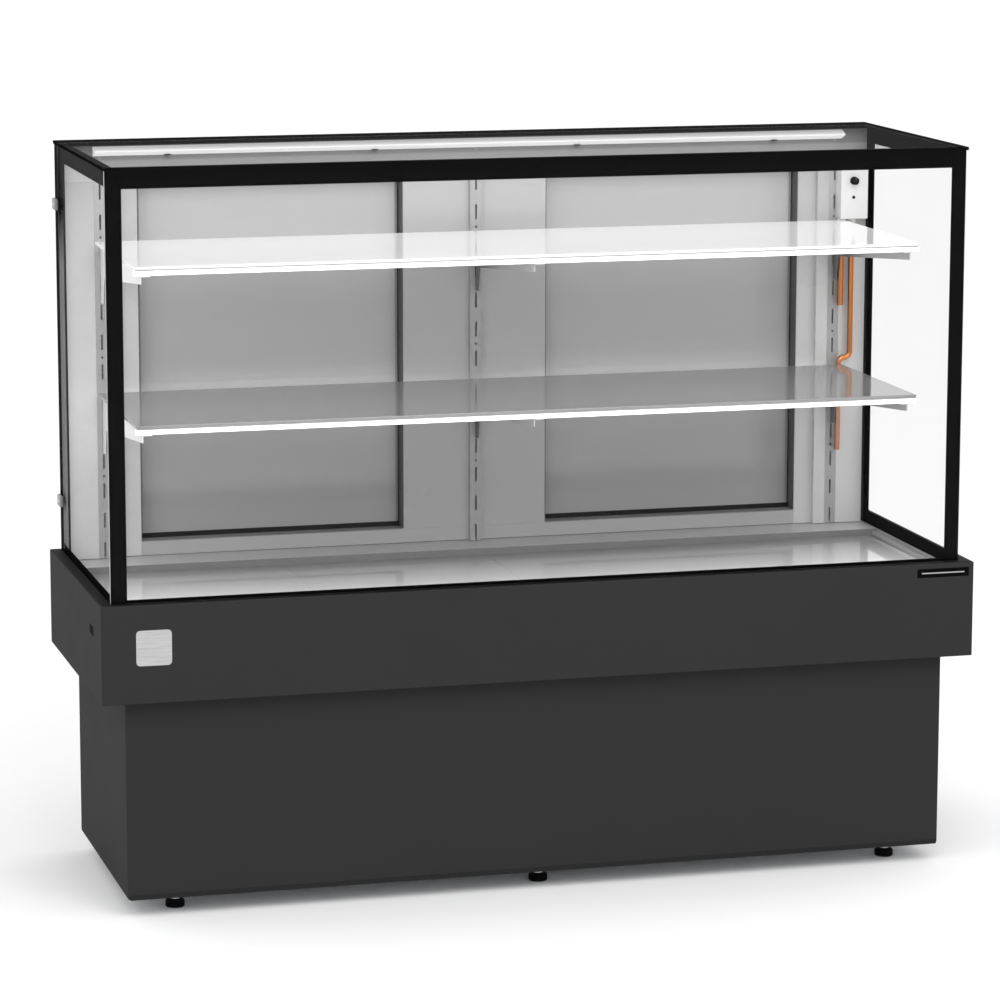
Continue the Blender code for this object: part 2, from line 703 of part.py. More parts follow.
def make_door(name, side):
    """A hinged glazed leaf. Its parts share the hinge's axis as their parent."""
    pivot = bpy.data.objects.new(name + "_pivot", None)
    pivot.location = (side * HINGE_X, HINGE_Y, 0.0)
    pivot.parent = ORIGIN
    CASE.objects.link(pivot)
    outer = rectangle(DOOR_INNER, DOOR_OUTER, DOOR_BOTTOM, DOOR_TOP)
    opening = rectangle(DOOR_INNER + DOOR_BORDER, DOOR_OUTER - DOOR_BORDER, DOOR_BOTTOM + DOOR_BORDER,
                        DOOR_TOP - DOOR_BORDER)
    frame = prism(name + "_frame", [mirrored(outer, side), mirrored(opening, side)], "Y",
                  DOOR_FRONT, DOOR_BACK, "light_paint")
    pin_holes = [(side * HINGE_X, HINGE_Y, height) for height in (DOOR_TOP, DOOR_BOTTOM)]
    hole_length = 2 * (PIN_LENGTH + 0.002)
    cut(frame, cutter_rods(name + "_pin_holes", pin_holes, PIN_RADIUS + GAP, hole_length, "Z", 16))
    inset = DOOR_BORDER + GAP
    left, right = sorted((side * (DOOR_INNER + inset), side * (DOOR_OUTER - inset)))
    pane = block(name + "_pane", (left, PANE_FRONT, DOOR_BOTTOM + DOOR_BORDER + GAP),
                 (right, PANE_BACK, DOOR_TOP - DOOR_BORDER - GAP), "clear_glass")
    low, high = HANDLE_HEIGHTS
    lower = arc((HANDLE_OUT - HANDLE_BEND, low + HANDLE_BEND), HANDLE_BEND, -90, 0, 4)
    upper = arc((HANDLE_OUT - HANDLE_BEND, high - HANDLE_BEND), HANDLE_BEND, 0, 90, 4)
    route = [(DOOR_BACK + GAP, low)] + lower + upper + [(DOOR_BACK + GAP, high)]
    handle = tube(name + "_handle", [(side * HANDLE_X, y, z) for y, z in route], HANDLE_RADIUS, "aluminium")
    for piece in (frame, pane, handle):
        piece.parent = pivot
        piece.location = piece.location - pivot.location


def make_hinge_rail(name, side):
    """A fixed rail beside the door, with a lug and a pin above the leaf and below it."""
    rail_left, rail_right = sorted(side * x for x in HINGE_RAIL)
    lug_left, lug_right = sorted(side * x for x in LUG_REACH)
    top_lug = (DOOR_TOP + GAP, DOOR_TOP + GAP + LUG_HEIGHT)
    bottom_lug = (DOOR_BOTTOM - GAP - LUG_HEIGHT, DOOR_BOTTOM - GAP)
    rail = block(name, (rail_left, WALL_BACK + GAP, bottom_lug[0]), (rail_right, DOOR_BACK, top_lug[1]),
                 "aluminium")
    lugs = [((lug_left, HINGE_Y - 0.009, low), (lug_right, DOOR_BACK, high))
            for low, high in (top_lug, bottom_lug)]
    pins = [(side * HINGE_X, HINGE_Y, DOOR_TOP + LUG_HEIGHT / 2 - PIN_LENGTH / 2),
            (side * HINGE_X, HINGE_Y, DOOR_BOTTOM - LUG_HEIGHT / 2 + PIN_LENGTH / 2)]
    join(rail, cutter_blocks(name + "_lugs", lugs),
         cutter_rods(name + "_pins", pins, PIN_RADIUS, PIN_LENGTH, "Z", 16))


def finned_outline(left, right, front, back, fins, tooth):
    """Plan of a finned coil: a core with a comb of fins on both faces."""
    pitch = (right - left) / fins
    near = []
    far = []
    for index in range(fins):
        start = left + index * pitch
        near += [(start, front), (start + pitch / 2, front), (start + pitch / 2, front + tooth),
                 (start + pitch, front + tooth)]
        far += [(start, back), (start + pitch / 2, back), (start + pitch / 2, back - tooth),
                (start + pitch, back - tooth)]
    return near[:-1] + [(right - pitch / 2, back - tooth)] + far[-3::-1]


def make_fan(name, centre, radius, hub_radius, blades, blade_depth, kind):
    """A rotor that turns about Y: a hub with pitched blades joined to it."""
    hub = [(0.0, blade_depth / 2), (hub_radius * 0.8, blade_depth / 2), (hub_radius, blade_depth / 2 - 0.003),
           (hub_radius, -blade_depth / 2), (0.0, -blade_depth / 2)]
    rotor = turned(name, hub, centre, kind, steps=20, rotation=(math.pi / 2, 0.0, 0.0))
    bm = bmesh.new()
    for index in range(blades):
        spin = Matrix.Rotation(2 * math.pi * index / blades, 4, "Y")
        pitch = Matrix.Rotation(math.radians(32), 4, "Z")
        length = radius - hub_radius * 0.7
        size = Matrix.Diagonal((radius * 0.55, 0.0018, length, 1.0))
        reach = Matrix.Translation((0.0, 0.0, hub_radius * 0.7 + length / 2))
        bmesh.ops.create_cube(bm, size=1.0, matrix=Matrix.Translation(centre) @ spin @ reach @ pitch @ size)
    join(rotor, place_cutter(name + "_blades", to_mesh(bm, name + "_blades")))


def make_motor(name, fan_centre, front_gap, half, length, stand_bottom, bevel):
    """A square motor behind its fan, on a stand."""
    x, y, z = fan_centre
    back = y - front_gap
    motor = block(name, (x - half, back - length, z - half), (x + half, back, z + half), "galvanised", bevel)
    stand = ((x - 0.8 * half, back - 0.75 * length, stand_bottom), (x + 0.8 * half, back - 0.4 * length, z))
    join(motor, cutter_blocks(name + "_stand", [stand]))


def make_machinery(floor):
    """Compressor, condenser and pan in the plinth, coil and fan under the floor panels."""
    base = floor + GAP
    compressor = [
        (0.0, 0.232), (0.030, 0.228), (0.056, 0.212), (0.070, 0.186), (0.074, 0.150), (0.076, 0.148),
        (0.076, 0.142), (0.074, 0.140), (0.072, 0.096), (0.062, 0.072), (0.062, 0.060), (0.090, 0.060),
        (0.090, base), (0.0, base),
    ]
    turned("compressor", compressor, (*COMPRESSOR_PLACE, 0.0), "black_plastic", steps=28)
    coil = finned_outline(*CONDENSER_X, *CONDENSER_Y, 20, FIN_HEIGHT)
    prism("condenser", [coil], "Z", base, CONDENSER_TOP, "aluminium")
    fan_centre = (FAN_X, FAN_Y, FAN_Z)
    make_fan("condenser_fan", fan_centre, 0.110, 0.028, 5, 0.030, "black_plastic")
    make_motor("condenser_fan_motor", fan_centre, 0.019, 0.035, 0.060, base, 0.006)
    folded_shell("drain_pan", (PAN_X[0], PAN_Y[0], base), (PAN_X[1], PAN_Y[1], base + PAN_HEIGHT), PLATE,
                 "black_plastic", flanges={}, open_sides=["+Z"], fold=0.004)
    coil_floor = COIL_BAY_FLOOR + GAP
    evaporator = finned_outline(*EVAPORATOR_X, *EVAPORATOR_Y, 24, FIN_HEIGHT)
    prism("evaporator", [evaporator], "Z", coil_floor, EVAPORATOR_TOP, "aluminium")
    small_fan_centre = (SMALL_FAN_X, SMALL_FAN_Y, SMALL_FAN_Z)
    make_fan("evaporator_fan", small_fan_centre, 0.046, 0.014, 5, 0.018, "black_plastic")
    make_motor("evaporator_fan_motor", small_fan_centre, 0.0105, 0.020, 0.040, coil_floor, 0.004)


def build_case():
    plate_top = make_plinth()
    make_grille(plate_top)
    make_feet()
    make_deck()
    make_glass()
    make_rear_wall()
    for name, x in zip(SIDE_NAMES, UPRIGHT_X):
        make_upright(name + "_upright", x)
    for level, top in SHELF_TOPS.items():
        make_shelf(level, top)
    make_header_lamp()
    make_controls()
    for name, side in (("left", -1), ("right", 1)):
        make_door(name + "_door", side)
        make_hinge_rail(name + "_hinge_rail", side)
    make_machinery(plate_top)
    bpy.context.view_layer.update()


build_case()
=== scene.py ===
"""Looks for the refrigerated deli case: materials, trim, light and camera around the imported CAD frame."""
import math

import bmesh
import bpy
from mathutils import Euler, Matrix, Vector


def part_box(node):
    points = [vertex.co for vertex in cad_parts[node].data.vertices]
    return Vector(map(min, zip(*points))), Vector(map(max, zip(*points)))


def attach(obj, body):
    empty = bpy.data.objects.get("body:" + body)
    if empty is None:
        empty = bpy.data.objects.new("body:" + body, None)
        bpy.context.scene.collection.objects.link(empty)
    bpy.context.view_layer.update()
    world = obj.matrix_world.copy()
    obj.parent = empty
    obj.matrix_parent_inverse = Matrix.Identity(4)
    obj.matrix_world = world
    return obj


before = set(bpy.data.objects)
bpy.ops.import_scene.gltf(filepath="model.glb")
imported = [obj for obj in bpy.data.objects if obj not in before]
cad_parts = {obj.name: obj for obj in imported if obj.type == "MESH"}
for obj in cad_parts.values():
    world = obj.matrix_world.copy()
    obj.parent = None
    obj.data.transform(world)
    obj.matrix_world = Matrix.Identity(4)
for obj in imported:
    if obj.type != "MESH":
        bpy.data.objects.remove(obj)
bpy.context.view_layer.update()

# ---------------------------------------------------------------------------------------------
# Places taken from the frame

CASE = "case"
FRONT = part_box("front_glass")
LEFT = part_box("left_glass")
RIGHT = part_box("right_glass")
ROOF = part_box("roof_glass")
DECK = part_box("deck_skirt")
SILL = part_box("rear_sill")
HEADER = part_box("rear_header")
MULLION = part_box("rear_mullion")
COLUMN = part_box("right_column")
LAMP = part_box("header_lamp")
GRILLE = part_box("rear_grille")
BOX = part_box("control_box")
FLOOR_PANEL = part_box("floor_panel_1")

HAIR = 0.0001
SIDES = (("left", -1), ("right", 1))
THIRDS = ("left", "middle", "right")
LEVELS = ("upper", "lower")


# ---------------------------------------------------------------------------------------------
# Materials

class Recipe:
    """Adds and joins the shader nodes of one material."""

    def __init__(self, name):
        self.material = bpy.data.materials.new(name)
        self.material.use_nodes = True
        self.tree = self.material.node_tree
        self.tree.nodes.clear()
        self.output = self.tree.nodes.new("ShaderNodeOutputMaterial")
        coordinates = self.tree.nodes.new("ShaderNodeTexCoord")
        self.object_space = coordinates.outputs["Object"]
        self.object_normal = coordinates.outputs["Normal"]

    def node(self, kind, settings=None, **inputs):
        node = self.tree.nodes.new(kind)
        for key, value in (settings or {}).items():
            setattr(node, key, value)
        for key, value in inputs.items():
            self.feed(node.inputs[key.replace("_", " ")], value)
        return node

    def feed(self, socket, value):
        if isinstance(value, bpy.types.NodeSocket):
            self.tree.links.new(value, socket)
        elif isinstance(value, tuple) and len(value) == 3 and socket.type == "RGBA":
            socket.default_value = (*value, 1.0)
        else:
            socket.default_value = value

    def noise(self, scale, stretch=(1.0, 1.0, 1.0), detail=3.0, roughness=0.5):
        spread = self.node("ShaderNodeMapping", Vector=self.object_space, Scale=stretch)
        noise = self.node("ShaderNodeTexNoise", Vector=spread.outputs["Vector"], Scale=scale,
                          Detail=detail, Roughness=roughness)
        return noise.outputs["Fac"]

    def remap(self, value, low, high, start=0.3, end=0.7):
        node = self.node("ShaderNodeMapRange", Value=value)
        for index, number in ((1, start), (2, end), (3, low), (4, high)):
            node.inputs[index].default_value = number
        return node.outputs["Result"]

    def blend(self, factor, first, second):
        node = self.node("ShaderNodeMix", {"data_type": "RGBA"})
        self.feed(node.inputs[0], factor)
        self.feed(node.inputs[6], first)
        self.feed(node.inputs[7], second)
        return node.outputs[2]

    def math(self, operation, first, second=0.0):
        node = self.node("ShaderNodeMath", {"operation": operation})
        self.feed(node.inputs[0], first)
        self.feed(node.inputs[1], second)
        return node.outputs[0]

    def height(self):
        return self.node("ShaderNodeSeparateXYZ", Vector=self.object_space).outputs["Z"]

    def mix(self, factor, first, second):
        node = self.node("ShaderNodeMixShader")
        self.feed(node.inputs[0], factor)
        self.feed(node.inputs[1], first)
        self.feed(node.inputs[2], second)
        return node.outputs[0]

    def bump(self, value, strength, distance=0.001):
        bump = self.node("ShaderNodeBump", Height=value, Strength=strength, Distance=distance)
        return bump.outputs["Normal"]

    def finish(self, shader):
        self.tree.links.new(shader, self.output.inputs["Surface"])
        return self.material


def grey(tone):
    return (tone, tone, tone)


def dimmed(colour, share):
    return tuple(channel * share for channel in colour)


GLOSS_RANGE = 0.015


def paint(name, colour, second, roughness, grain=900.0, bump=0.05, specular=0.5):
    """Powder-coated sheet: a fine orange peel, faint clouds of tone and uneven gloss."""
    recipe = Recipe(name)
    clouds = recipe.noise(3.0, detail=4.0)
    peel = recipe.noise(grain, detail=2.0)
    gloss = recipe.noise(14.0, detail=3.0)
    shader = recipe.node(
        "ShaderNodeBsdfPrincipled",
        Base_Color=recipe.blend(recipe.remap(clouds, 0.0, 1.0), colour, second),
        Roughness=recipe.remap(gloss, roughness - GLOSS_RANGE, roughness + GLOSS_RANGE),
        Specular_IOR_Level=specular,
        Normal=recipe.bump(peel, bump, 0.0004),
    )
    return recipe.finish(shader.outputs["BSDF"])


def gradient_paint(name, first_tone, last_tone, roughness, start, end, axis="Z", specular=0.35):
    """Coated panel whose tone changes between two places along an axis; on the columns, header and brackets
    this is painted light and shade.
    """
    recipe = Recipe(name)
    clouds = recipe.remap(recipe.noise(3.0, detail=4.0), -0.02, 0.02)
    place = recipe.node("ShaderNodeSeparateXYZ", Vector=recipe.object_space).outputs[axis]
    rise = recipe.remap(place, 0.0, 1.0, start, end)
    shader = recipe.node(
        "ShaderNodeBsdfPrincipled",
        Base_Color=recipe.blend(recipe.math("ADD", rise, clouds), first_tone, last_tone),
        Roughness=recipe.remap(recipe.noise(14.0), roughness - GLOSS_RANGE, roughness + GLOSS_RANGE),
        Specular_IOR_Level=specular,
    )
    return recipe.finish(shader.outputs["BSDF"])


def brushed(name, colour, second, roughness, stretch, scale=60.0):
    """Brushed metal: streaks drawn out along one axis."""
    recipe = Recipe(name)
    streaks = recipe.noise(scale, stretch, detail=5.0, roughness=0.6)
    smears = recipe.noise(6.0, detail=3.0)
    shader = recipe.node(
        "ShaderNodeBsdfPrincipled",
        Base_Color=recipe.blend(recipe.remap(streaks, 0.0, 1.0), colour, second),
        Roughness=recipe.remap(smears, roughness - 0.05, roughness + 0.07),
        Metallic=1.0,
        Normal=recipe.bump(streaks, 0.06, 0.0004),
    )
    return recipe.finish(shader.outputs["BSDF"])


def moulded(name, colour, second, roughness, bump=0.08, specular=0.5):
    """Moulded plastic or rubber with a fine texture."""
    recipe = Recipe(name)
    texture = recipe.noise(1400.0, detail=2.0)
    patches = recipe.noise(30.0)
    shader = recipe.node(
        "ShaderNodeBsdfPrincipled",
        Base_Color=recipe.blend(recipe.remap(patches, 0.0, 1.0), colour, second),
        Roughness=recipe.remap(patches, roughness - 0.04, roughness + 0.06),
        Specular_IOR_Level=specular,
        Normal=recipe.bump(texture, bump, 0.0003),
    )
    return recipe.finish(shader.outputs["BSDF"])


def lit_plastic(name, colour, strength):
    """A slightly mottled diffuser with light behind it."""
    recipe = Recipe(name)
    mottle = recipe.noise(40.0, (0.2, 1.0, 1.0))
    tone = recipe.blend(recipe.remap(mottle, 0.0, 1.0), colour, dimmed(colour, 0.97))
    shader = recipe.node(
        "ShaderNodeBsdfPrincipled",
        Base_Color=tone,
        Roughness=recipe.remap(mottle, 0.25, 0.35),
        Emission_Color=tone,
        Emission_Strength=strength,
    )
    return recipe.finish(shader.outputs["BSDF"])


def sheet_glass(name, edge_axis, tint, edge_tone, shine, grazing=None, solid_edges=True):
    """Thin clear glass that lets light through, with polished edges.

    edge_axis is the axis across the sheet: faces that don't look along it are edges. grazing is
    the tint at low angles. Edges that aren't solid are seen from outside only.
    """
    recipe = Recipe(name)
    colour = tint
    if grazing is not None:
        slant = recipe.node("ShaderNodeLayerWeight", Blend=0.5).outputs["Facing"]
        colour = recipe.blend(recipe.remap(slant, 0.0, 1.0, 0.60, 0.80), tint, grazing)
    clear = recipe.node("ShaderNodeBsdfTransparent", Color=colour)
    smear = recipe.noise(7.0, detail=4.0)
    gloss = recipe.node("ShaderNodeBsdfGlossy", Color=grey(1.0), Roughness=recipe.remap(smear, 0.0, 0.03))
    fresnel = recipe.node("ShaderNodeFresnel", IOR=1.45)
    share = recipe.math("MULTIPLY", fresnel.outputs[0], shine)
    face = recipe.mix(share, clear.outputs[0], gloss.outputs[0])
    normal = recipe.node("ShaderNodeSeparateXYZ", Vector=recipe.object_normal).outputs[edge_axis]
    is_edge = recipe.math("LESS_THAN", recipe.math("ABSOLUTE", normal), 0.7)
    shown_edge = is_edge
    if not solid_edges:
        behind = recipe.node("ShaderNodeNewGeometry").outputs["Backfacing"]
        shown_edge = recipe.math("MULTIPLY", is_edge, recipe.math("SUBTRACT", 1.0, behind))
    ripple = recipe.noise(90.0, (1.0, 1.0, 0.3))
    edge = recipe.node(
        "ShaderNodeBsdfPrincipled",
        Base_Color=recipe.blend(recipe.remap(ripple, 0.0, 1.0), edge_tone, dimmed(edge_tone, 0.8)),
        Roughness=0.4,
        Specular_IOR_Level=0.0,
    )
    return recipe.finish(recipe.mix(shown_edge, face, edge.outputs["BSDF"]))


def door_glass(name):
    """Insulated double glazing: mostly a soft grey, letting some light through, with a paler top and
    horizontal bands of painted reflection.
    """
    recipe = Recipe(name)
    clouds = recipe.noise(2.2, (0.05, 1.0, 3.0), detail=1.0)
    rise = recipe.remap(recipe.height(), 0.0, 1.0, FLOOR_PANEL[1][2], HEADER[0][2])
    # Paler towards the header with horizontal cloud bands: painted reflection.
    painted_reflection_rise = recipe.math("ADD", rise, recipe.remap(clouds, -0.22, 0.22))
    body = recipe.node(
        "ShaderNodeBsdfPrincipled",
        Base_Color=recipe.blend(painted_reflection_rise, grey(0.47), grey(0.60)),
        Roughness=recipe.remap(clouds, 0.10, 0.16),
        Specular_IOR_Level=0.6,
    )
    clear = recipe.node("ShaderNodeBsdfTransparent", Color=grey(0.93))
    return recipe.finish(recipe.mix(0.06, body.outputs["BSDF"], clear.outputs[0]))


def shelf_glass(name, tone, painted_glow):
    """White-backed shelf glass with a glossy top; its glow is painted light, not a lamp, and a darker tone
    gives painted shade.
    """
    recipe = Recipe(name)
    smears = recipe.noise(5.0, (0.4, 1.0, 1.0), detail=4.0)
    colour = recipe.blend(recipe.remap(smears, 0.0, 1.0), grey(tone), grey(tone * 0.97))
    shader = recipe.node(
        "ShaderNodeBsdfPrincipled",
        Base_Color=colour,
        Roughness=recipe.remap(smears, 0.05, 0.08),
        Emission_Color=colour,
        Emission_Strength=painted_glow,
    )
    return recipe.finish(shader.outputs["BSDF"])


def polished_floor(name, back_tone, front_tone):
    """Glossy pale tray, darker towards the back and paler towards the front: painted light and shade."""
    recipe = Recipe(name)
    depth = recipe.node("ShaderNodeSeparateXYZ", Vector=recipe.object_space).outputs["Y"]
    streaks = recipe.remap(recipe.noise(60.0, (0.5, 18.0, 1.0), detail=5.0), -0.02, 0.02)
    painted_front_light = recipe.remap(depth, 0.0, 1.0, FLOOR_PANEL[1][1], FLOOR_PANEL[0][1] + 0.15)
    shader = recipe.node(
        "ShaderNodeBsdfPrincipled",
        Base_Color=recipe.blend(recipe.math("ADD", painted_front_light, streaks), grey(back_tone), grey(front_tone)),
        Roughness=recipe.remap(recipe.noise(4.0), 0.060, 0.075),
        Specular_IOR_Level=0.35,
    )
    return recipe.finish(shader.outputs["BSDF"])


def folded_steel(name, lit_top_tone, shaded_lip_tone):
    """Satin sheet steel with its top painted lighter and its upright faces darker: painted light and shade.
    """
    recipe = Recipe(name)
    streaks = recipe.remap(recipe.noise(60.0, (0.5, 18.0, 1.0), detail=5.0), -0.02, 0.02)
    painted_top_light = recipe.node("ShaderNodeSeparateXYZ", Vector=recipe.object_normal).outputs["Z"]
    shader = recipe.node(
        "ShaderNodeBsdfPrincipled",
        Base_Color=recipe.blend(recipe.math("ADD", painted_top_light, streaks), grey(shaded_lip_tone), grey(lit_top_tone)),
        Roughness=0.30,
        Specular_IOR_Level=0.3,
    )
    return recipe.finish(shader.outputs["BSDF"])


def copper(name):
    """Drawn copper, duller and rosier below the lower shelf."""
    recipe = Recipe(name)
    streaks = recipe.noise(60.0, (1.0, 1.0, 0.1), detail=5.0, roughness=0.6)
    bright = recipe.blend(recipe.remap(streaks, 0.0, 1.0), (0.58, 0.23, 0.08), (0.50, 0.19, 0.065))
    dull = recipe.blend(recipe.remap(streaks, 0.0, 1.0), (0.52, 0.27, 0.18), (0.46, 0.24, 0.16))
    shader = recipe.node(
        "ShaderNodeBsdfPrincipled",
        Base_Color=recipe.blend(recipe.remap(recipe.height(), 0.0, 1.0, 0.93, 0.96), dull, bright),
        Roughness=recipe.remap(recipe.noise(6.0), 0.29, 0.41),
        Metallic=1.0,
        Normal=recipe.bump(streaks, 0.06, 0.0004),
    )
    return recipe.finish(shader.outputs["BSDF"])


PAD_TOP = 0.0165


def levelling_foot(name):
    """Zinc stud and nut above a black rubber pad, told apart by height."""
    recipe = Recipe(name)
    is_metal = recipe.math("GREATER_THAN", recipe.height(), PAD_TOP)
    grain = recipe.noise(500.0, (1.0, 1.0, 4.0))
    threads = recipe.node("ShaderNodeTexWave", {"wave_type": "BANDS", "bands_direction": "Z"},
                          Vector=recipe.object_space, Scale=160.0).outputs["Fac"]
    shader = recipe.node(
        "ShaderNodeBsdfPrincipled",
        Base_Color=recipe.blend(is_metal, recipe.blend(grain, grey(0.003), grey(0.006)), grey(0.86)),
        Metallic=recipe.math("MULTIPLY", is_metal, 0.3),
        Roughness=recipe.remap(is_metal, 0.60, 0.30, 0.0, 1.0),
        Specular_IOR_Level=recipe.remap(is_metal, 0.05, 0.5, 0.0, 1.0),
        Normal=recipe.bump(recipe.math("MULTIPLY", threads, is_metal), 0.35, 0.0006),
    )
    return recipe.finish(shader.outputs["BSDF"])


CHARCOAL = paint("charcoal_powder_coat", grey(0.0290), grey(0.0280), 0.60, specular=0.02)
PRINT = paint("black_ceramic_print", grey(0.0032), grey(0.0028), 0.60, bump=0.0, specular=0.01)
WALL = paint("light_coated_panel", grey(0.53), grey(0.52), 0.26, bump=0.01, specular=0.35)
# Columns paler towards the foot and darker towards the header: painted light and shade.
COLUMN_PAINTED_LIGHT = gradient_paint("column_painted_light", grey(0.73), grey(0.46), 0.28, 1.08, HEADER[0][2])
# Header darker above z 1.400 to 1.405: painted shade from the overhanging lamp.
HEADER_PAINTED_SHADE = gradient_paint("header_painted_shade", grey(0.50), grey(0.34), 0.40, 1.400, 1.405)
FRAME_PAINT = paint("door_frame_coating", grey(0.57), grey(0.555), 0.32, bump=0.01)
STEEL_PAINT = paint("upright_coating", grey(0.45), grey(0.44), 0.35, bump=0.01)
# Middle and right brackets lighter at the nose and dark grey further back: painted shade.
BRACKET_PAINTED_SHADE = gradient_paint("bracket_painted_shade", grey(0.56), grey(0.17), 0.35, 0.02, 0.14, axis="Y")
LEFT_PRINT = gradient_paint("left_ceramic_print", grey(0.19), grey(0.003), 0.60, 1.19, 1.30, specular=0.01)
CLAMP_PAINT = paint("clamp_coating", grey(0.24), grey(0.22), 0.40, bump=0.01)
# Left brackets painted near white: a lit copy of the bracket paint, painted light.
LEFT_BRACKET_PAINTED_LIGHT = paint("left_bracket_painted_light", grey(0.90), grey(0.88), 0.35, bump=0.01)
BOX_PLASTIC = moulded("white_box_plastic", grey(0.77), grey(0.75), 0.32, 0.01)
BLACK_PLASTIC = moulded("black_plastic", grey(0.0045), grey(0.0055), 0.50, specular=0.08)
TRIM_BLACK = moulded("black_trim", grey(0.0060), grey(0.0075), 0.60, specular=0.05)
# Slightly darker than the charcoal: painted shade along the plinth's foot.
PLINTH_FOOT_PAINTED_SHADE = paint("plinth_foot_painted_shade", grey(0.0215), grey(0.0205), 0.60, specular=0.02)
# Dark grey sheets in the window reveals: painted shade.
REVEAL_PAINTED_SHADE = moulded("window_reveal_painted_shade", grey(0.14), grey(0.15), 0.55, 0.03, specular=0.15)
SEAL = moulded("grey_window_seal", grey(0.30), grey(0.32), 0.60, specular=0.2)
DARK_RUBBER = moulded("black_gasket_rubber", grey(0.015), grey(0.020), 0.60, specular=0.2)
SEAM = moulded("shelf_seam", grey(0.34), grey(0.36), 0.50)
LED = lit_plastic("led_diffuser", grey(0.95), 1.2)
LAMP_COVER = lit_plastic("lamp_diffuser", grey(0.86), 0.95)
# Floor panels ramp from dark at the back to pale at the front: painted light and shade.
FLOOR_PAINTED_LIGHT = polished_floor("floor_panel_steel", 0.30, 0.95)
# Duct cover lighter on top and darker on its upright faces: painted light and shade.
LEDGE_PAINTED_LIGHT_SHADE = folded_steel("duct_cover_painted_light_shade", 0.60, 0.26)
ALUMINIUM = brushed("brushed_aluminium", grey(0.73), grey(0.65), 0.30, (1.0, 1.0, 0.05))
BADGE_STEEL = brushed("badge_steel", grey(0.54), grey(0.38), 0.36, (0.3, 1.0, 14.0))
GALVANISED = brushed("galvanised_steel", (0.52, 0.54, 0.56), (0.42, 0.44, 0.46), 0.42, (1.0, 1.0, 1.0),
                     scale=90.0)
FINS = brushed("coil_fins", grey(0.71), grey(0.53), 0.35, (1.0, 1.0, 30.0), scale=40.0)
COPPER = copper("copper_pipe")
FOOT = levelling_foot("levelling_foot_finish")
# Upper shelf glows as painted light; the lower shelf is darker as painted shade under the upper one.
UPPER_SHELF_PAINTED_LIGHT = shelf_glass("upper_shelf_painted_light", 0.86, 0.16)
LOWER_SHELF_PAINTED_SHADE = shelf_glass("lower_shelf_painted_shade", 0.30, 0.0)
FRONT_GLASS = sheet_glass("front_sheet_glass", "Y", grey(0.99), grey(0.72), 0.05, solid_edges=False)
SIDE_GLASS = sheet_glass("side_sheet_glass", "X", grey(0.96), grey(0.02), 0.015)
ROOF_GLASS = sheet_glass("roof_sheet_glass", "Z", grey(0.98), grey(0.005), 0.018, grazing=grey(0.74))
DOOR_GLASS = door_glass("door_double_glazing")

FINISHES = {
    CHARCOAL: ["plinth_shell", "rear_grille", "deck_skirt"],
    HEADER_PAINTED_SHADE: ["rear_header"],
    WALL: ["rear_sill", "rear_mullion", "insulated_tub"],
    COLUMN_PAINTED_LIGHT: ["left_column", "right_column"],
    FRAME_PAINT: ["left_door_frame", "right_door_frame"],
    STEEL_PAINT: [name + "_upright" for name in THIRDS],
    BRACKET_PAINTED_SHADE: ["%s_%s_bracket" % (level, name) for level in LEVELS for name in ("middle", "right")],
    LEFT_BRACKET_PAINTED_LIGHT: [level + "_left_bracket" for level in LEVELS],
    BOX_PLASTIC: ["control_box"],
    BLACK_PLASTIC: ["thermostat_knob", "power_inlet", "drain_pan", "condenser_fan", "evaporator_fan",
                    "compressor"],
    LED: ["upper_led_rail", "lower_led_rail"],
    LAMP_COVER: ["header_lamp"],
    FLOOR_PAINTED_LIGHT: ["floor_panel_%d" % number for number in range(1, 5)],
    LEDGE_PAINTED_LIGHT_SHADE: ["duct_cover"],
    ALUMINIUM: ["left_door_handle", "right_door_handle", "left_hinge_rail", "right_hinge_rail"],
    GALVANISED: ["base_plate", "condenser_fan_motor", "evaporator_fan_motor"],
    FINS: ["condenser", "evaporator"],
    COPPER: ["copper_line", "sensor_pocket"],
    FOOT: ["foot_%s_%s" % (row, name) for row in ("front", "rear") for name in THIRDS],
    UPPER_SHELF_PAINTED_LIGHT: ["upper_shelf"],
    LOWER_SHELF_PAINTED_SHADE: ["lower_shelf"],
    FRONT_GLASS: ["front_glass"],
    SIDE_GLASS: ["left_glass", "right_glass"],
    ROOF_GLASS: ["roof_glass"],
    DOOR_GLASS: ["left_door_pane", "right_door_pane"],
}
for finish, names in FINISHES.items():
    for name in names:
        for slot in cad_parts[name].material_slots:
            slot.material = finish


# ---------------------------------------------------------------------------------------------
# Shapes

def add_piece(name, bm, material, body, bevel=0.0):
    """Makes the object of a piece, which rides on a body."""
    bmesh.ops.recalc_face_normals(bm, faces=bm.faces)
    mesh = bpy.data.meshes.new(name)
    bm.to_mesh(mesh)
    bm.free()
    piece = bpy.data.objects.new(name, mesh)
    bpy.context.scene.collection.objects.link(piece)
    mesh.materials.append(material)
    if bevel:
        rounding = piece.modifiers.new("rounded_edges", "BEVEL")
        rounding.width = bevel
        rounding.segments = 2
        rounding.limit_method = "ANGLE"
    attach(piece, body)
    return piece


def add_block(bm, low, high):
    size = Vector(high) - Vector(low)
    middle = (Vector(high) + Vector(low)) / 2
    bmesh.ops.create_cube(bm, size=1.0, matrix=Matrix.Translation(middle) @ Matrix.Diagonal((*size, 1.0)))


def blocks(name, boxes, material, body, bevel=0.0):
    bm = bmesh.new()
    for low, high in boxes:
        add_block(bm, low, high)
    return add_piece(name, bm, material, body, bevel)


AXES = {"X": (1, 2, 0), "Y": (0, 2, 1), "Z": (0, 1, 2)}


def in_space(axis, u, v, w):
    """A point with u and v across the axis and w along it."""
    point = [0.0, 0.0, 0.0]
    for index, value in zip(AXES[axis], (u, v, w)):
        point[index] = value
    return Vector(point)


